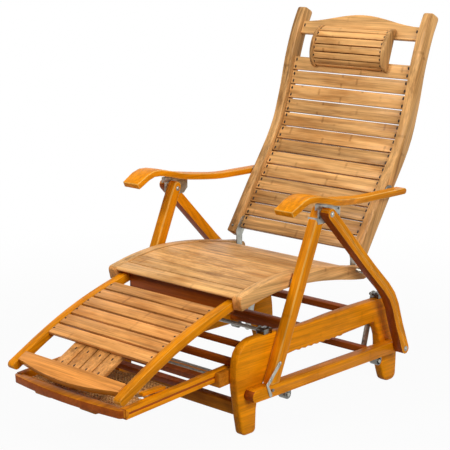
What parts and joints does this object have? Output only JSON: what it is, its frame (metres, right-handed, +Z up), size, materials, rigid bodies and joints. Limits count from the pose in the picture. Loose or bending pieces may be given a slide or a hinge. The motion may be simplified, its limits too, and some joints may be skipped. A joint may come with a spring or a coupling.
{
  "type": "folding rocking chair",
  "caption": "Bamboo folding rocking chair: slatted reclining back with headrest, curved arms, leg rest and slide-out foot stool, gliding on swing links over an arched base.",
  "frame": {"origin": "on the floor, under the middle of the chair's width and length at rest", "axes": "+Z up, -Y the way the sitter faces, +X the sitter's left"},
  "size_m": [0.6384, 1.2211, 1.0512],
  "materials": {
    "honey_bamboo": "satin varnish",
    "amber_bamboo": "satin varnish",
    "stained_wood": "stained and varnished",
    "steel": "zinc plated"
  },
  "bodies": {
    "base": {"base_front_bar": "stained_wood", "base_side_left": "amber_bamboo", "base_side_right": "amber_bamboo", "base_top_bar_front": "stained_wood", "base_top_bar_rear": "stained_wood", "front_pivot_rod": "steel", "rear_pivot_rod": "steel", "stool_track": "stained_wood"},
    "front_yoke": {"front_swing_yoke": "steel"},
    "rear_yoke": {"rear_swing_yoke": "steel"},
    "carriage": {"lower_rail_left": "amber_bamboo", "lower_rail_right": "amber_bamboo"},
    "rear_legs": {"rear_leg_left": "amber_bamboo", "rear_leg_right": "amber_bamboo"},
    "seat": {"seat_front_slat": "honey_bamboo", "seat_panel": "honey_bamboo", "seat_rail_left": "honey_bamboo", "seat_rail_right": "honey_bamboo"},
    "front_legs": {"front_leg_left": "amber_bamboo", "front_leg_right": "amber_bamboo"},
    "hook_left": {"lock_hook_left": "steel"},
    "hook_right": {"lock_hook_right": "steel"},
    "back_hinges": {"back_hinge_left": "steel", "back_hinge_right": "steel"},
    "back": {"back_rail_left": "honey_bamboo", "back_rail_right": "honey_bamboo", "back_slat_01": "honey_bamboo", "back_slat_02": "honey_bamboo", "back_slat_03": "honey_bamboo", "back_slat_04": "honey_bamboo", "back_slat_05": "honey_bamboo", "back_slat_06": "honey_bamboo", "back_slat_07": "honey_bamboo", "back_slat_08": "honey_bamboo", "back_slat_09": "honey_bamboo", "back_slat_10": "honey_bamboo", "back_slat_11": "honey_bamboo", "back_slat_12": "honey_bamboo", "back_slat_13": "honey_bamboo", "crest_rail": "honey_bamboo", "headrest_end_left": "honey_bamboo", "headrest_end_right": "honey_bamboo", "headrest_slats": "honey_bamboo"},
    "arm_pivots": {"arm_pivot_left": "steel", "arm_pivot_right": "steel"},
    "arms": {"arm_bracket_left": "steel", "arm_bracket_right": "steel", "arm_left": "amber_bamboo", "arm_right": "amber_bamboo"},
    "legrest": {"foot_board": "honey_bamboo", "legrest_rail_left": "amber_bamboo", "legrest_rail_right": "amber_bamboo", "legrest_slat_1": "honey_bamboo", "legrest_slat_2": "honey_bamboo", "legrest_slat_3": "honey_bamboo", "legrest_slat_4": "honey_bamboo", "legrest_slat_5": "honey_bamboo", "legrest_slat_6": "honey_bamboo"},
    "stool": {"stool_frame": "amber_bamboo"},
    "roller": {"bead_roller": "honey_bamboo"}
  },
  "joints": [
    {"name": "rock", "type": "hinge", "parent": "base", "child": "front_yoke", "pos_m": [0, -0.12117, 0.2613], "axis": [1, 0, 0], "range_deg": [-6, 6]},
    {"name": "rear_yoke_swing", "type": "hinge", "parent": "base", "child": "rear_yoke", "pos_m": [0, 0.36583, 0.2613], "axis": [1, 0, 0], "range_deg": [-6.1, 6.1]},
    {"name": "carriage_swing", "type": "hinge", "parent": "front_yoke", "child": "carriage", "pos_m": [0, -0.07417, 0.086], "axis": [1, 0, 0], "range_deg": [-7.5, 7.5]},
    {"name": "rear_leg_fold", "type": "hinge", "parent": "carriage", "child": "rear_legs", "pos_m": [0, 0.39783, 0.112], "axis": [1, 0, 0], "range_deg": [0, 17.5]},
    {"name": "seat_level", "type": "hinge", "parent": "rear_legs", "child": "seat", "pos_m": [0, 0.25111, 0.358], "axis": [1, 0, 0], "range_deg": [-17.6, 0]},
    {"name": "front_leg_fold", "type": "hinge", "parent": "seat", "child": "front_legs", "pos_m": [0, -0.02194, 0.376], "axis": [1, 0, 0], "range_deg": [-60.2, 0]},
    {"name": "fold", "type": "hinge", "parent": "seat", "child": "back_hinges", "pos_m": [0, 0.27483, 0.392], "axis": [1, 0, 0], "range_deg": [0, 106.1]},
    {"name": "recline", "type": "hinge", "parent": "back_hinges", "child": "back", "pos_m": [0, 0.27483, 0.392], "axis": [1, 0, 0], "range_deg": [-25, 0]},
    {"name": "arm_fold", "type": "hinge", "parent": "back", "child": "arm_pivots", "pos_m": [0, 0.38692, 0.56244], "axis": [1, 0, 0], "range_deg": [-106.2, 0]},
    {"name": "arm_level", "type": "hinge", "parent": "arm_pivots", "child": "arms", "pos_m": [0, 0.38692, 0.56244], "axis": [1, 0, 0], "range_deg": [0, 15.6]},
    {"name": "legrest_lift", "type": "hinge", "parent": "seat", "child": "legrest", "pos_m": [0, -0.19917, 0.345], "axis": [1, 0, 0], "range_deg": [-12.1, 0]},
    {"name": "stool_slide", "type": "slide", "parent": "base", "child": "stool", "axis": [0, 0.998, 0.0628], "range_m": [0, 0.2]},
    {"name": "roller_spin", "type": "hinge", "parent": "stool", "child": "roller", "pos_m": [0, -0.46474, 0.1525], "axis": [1, 0, 0], "continuous": true},
    {"name": "hook_left_swing", "type": "hinge", "parent": "front_legs", "child": "hook_left", "pos_m": [0, -0.11317, 0.1823], "axis": [1, 0, 0], "range_deg": [-70, 0]},
    {"name": "hook_right_swing", "type": "hinge", "parent": "front_legs", "child": "hook_right", "pos_m": [0, -0.11317, 0.1823], "axis": [1, 0, 0], "range_deg": [-70, 0]}
  ],
  "couplings": [
    {"joint": "rear_yoke_swing", "follows": "rock", "ratio": 1},
    {"joint": "carriage_swing", "follows": "rock", "ratio": -1.2392},
    {"joint": "fold", "follows": "rear_leg_fold", "ratio": 6.0571},
    {"joint": "seat_level", "follows": "rear_leg_fold", "ratio": -1},
    {"joint": "front_leg_fold", "follows": "rear_leg_fold", "ratio": -3.4286},
    {"joint": "arm_fold", "follows": "rear_leg_fold", "ratio": -6.0571},
    {"joint": "legrest_lift", "follows": "rear_leg_fold", "ratio": -0.68571},
    {"joint": "arm_level", "follows": "recline", "ratio": -0.62}
  ]
}
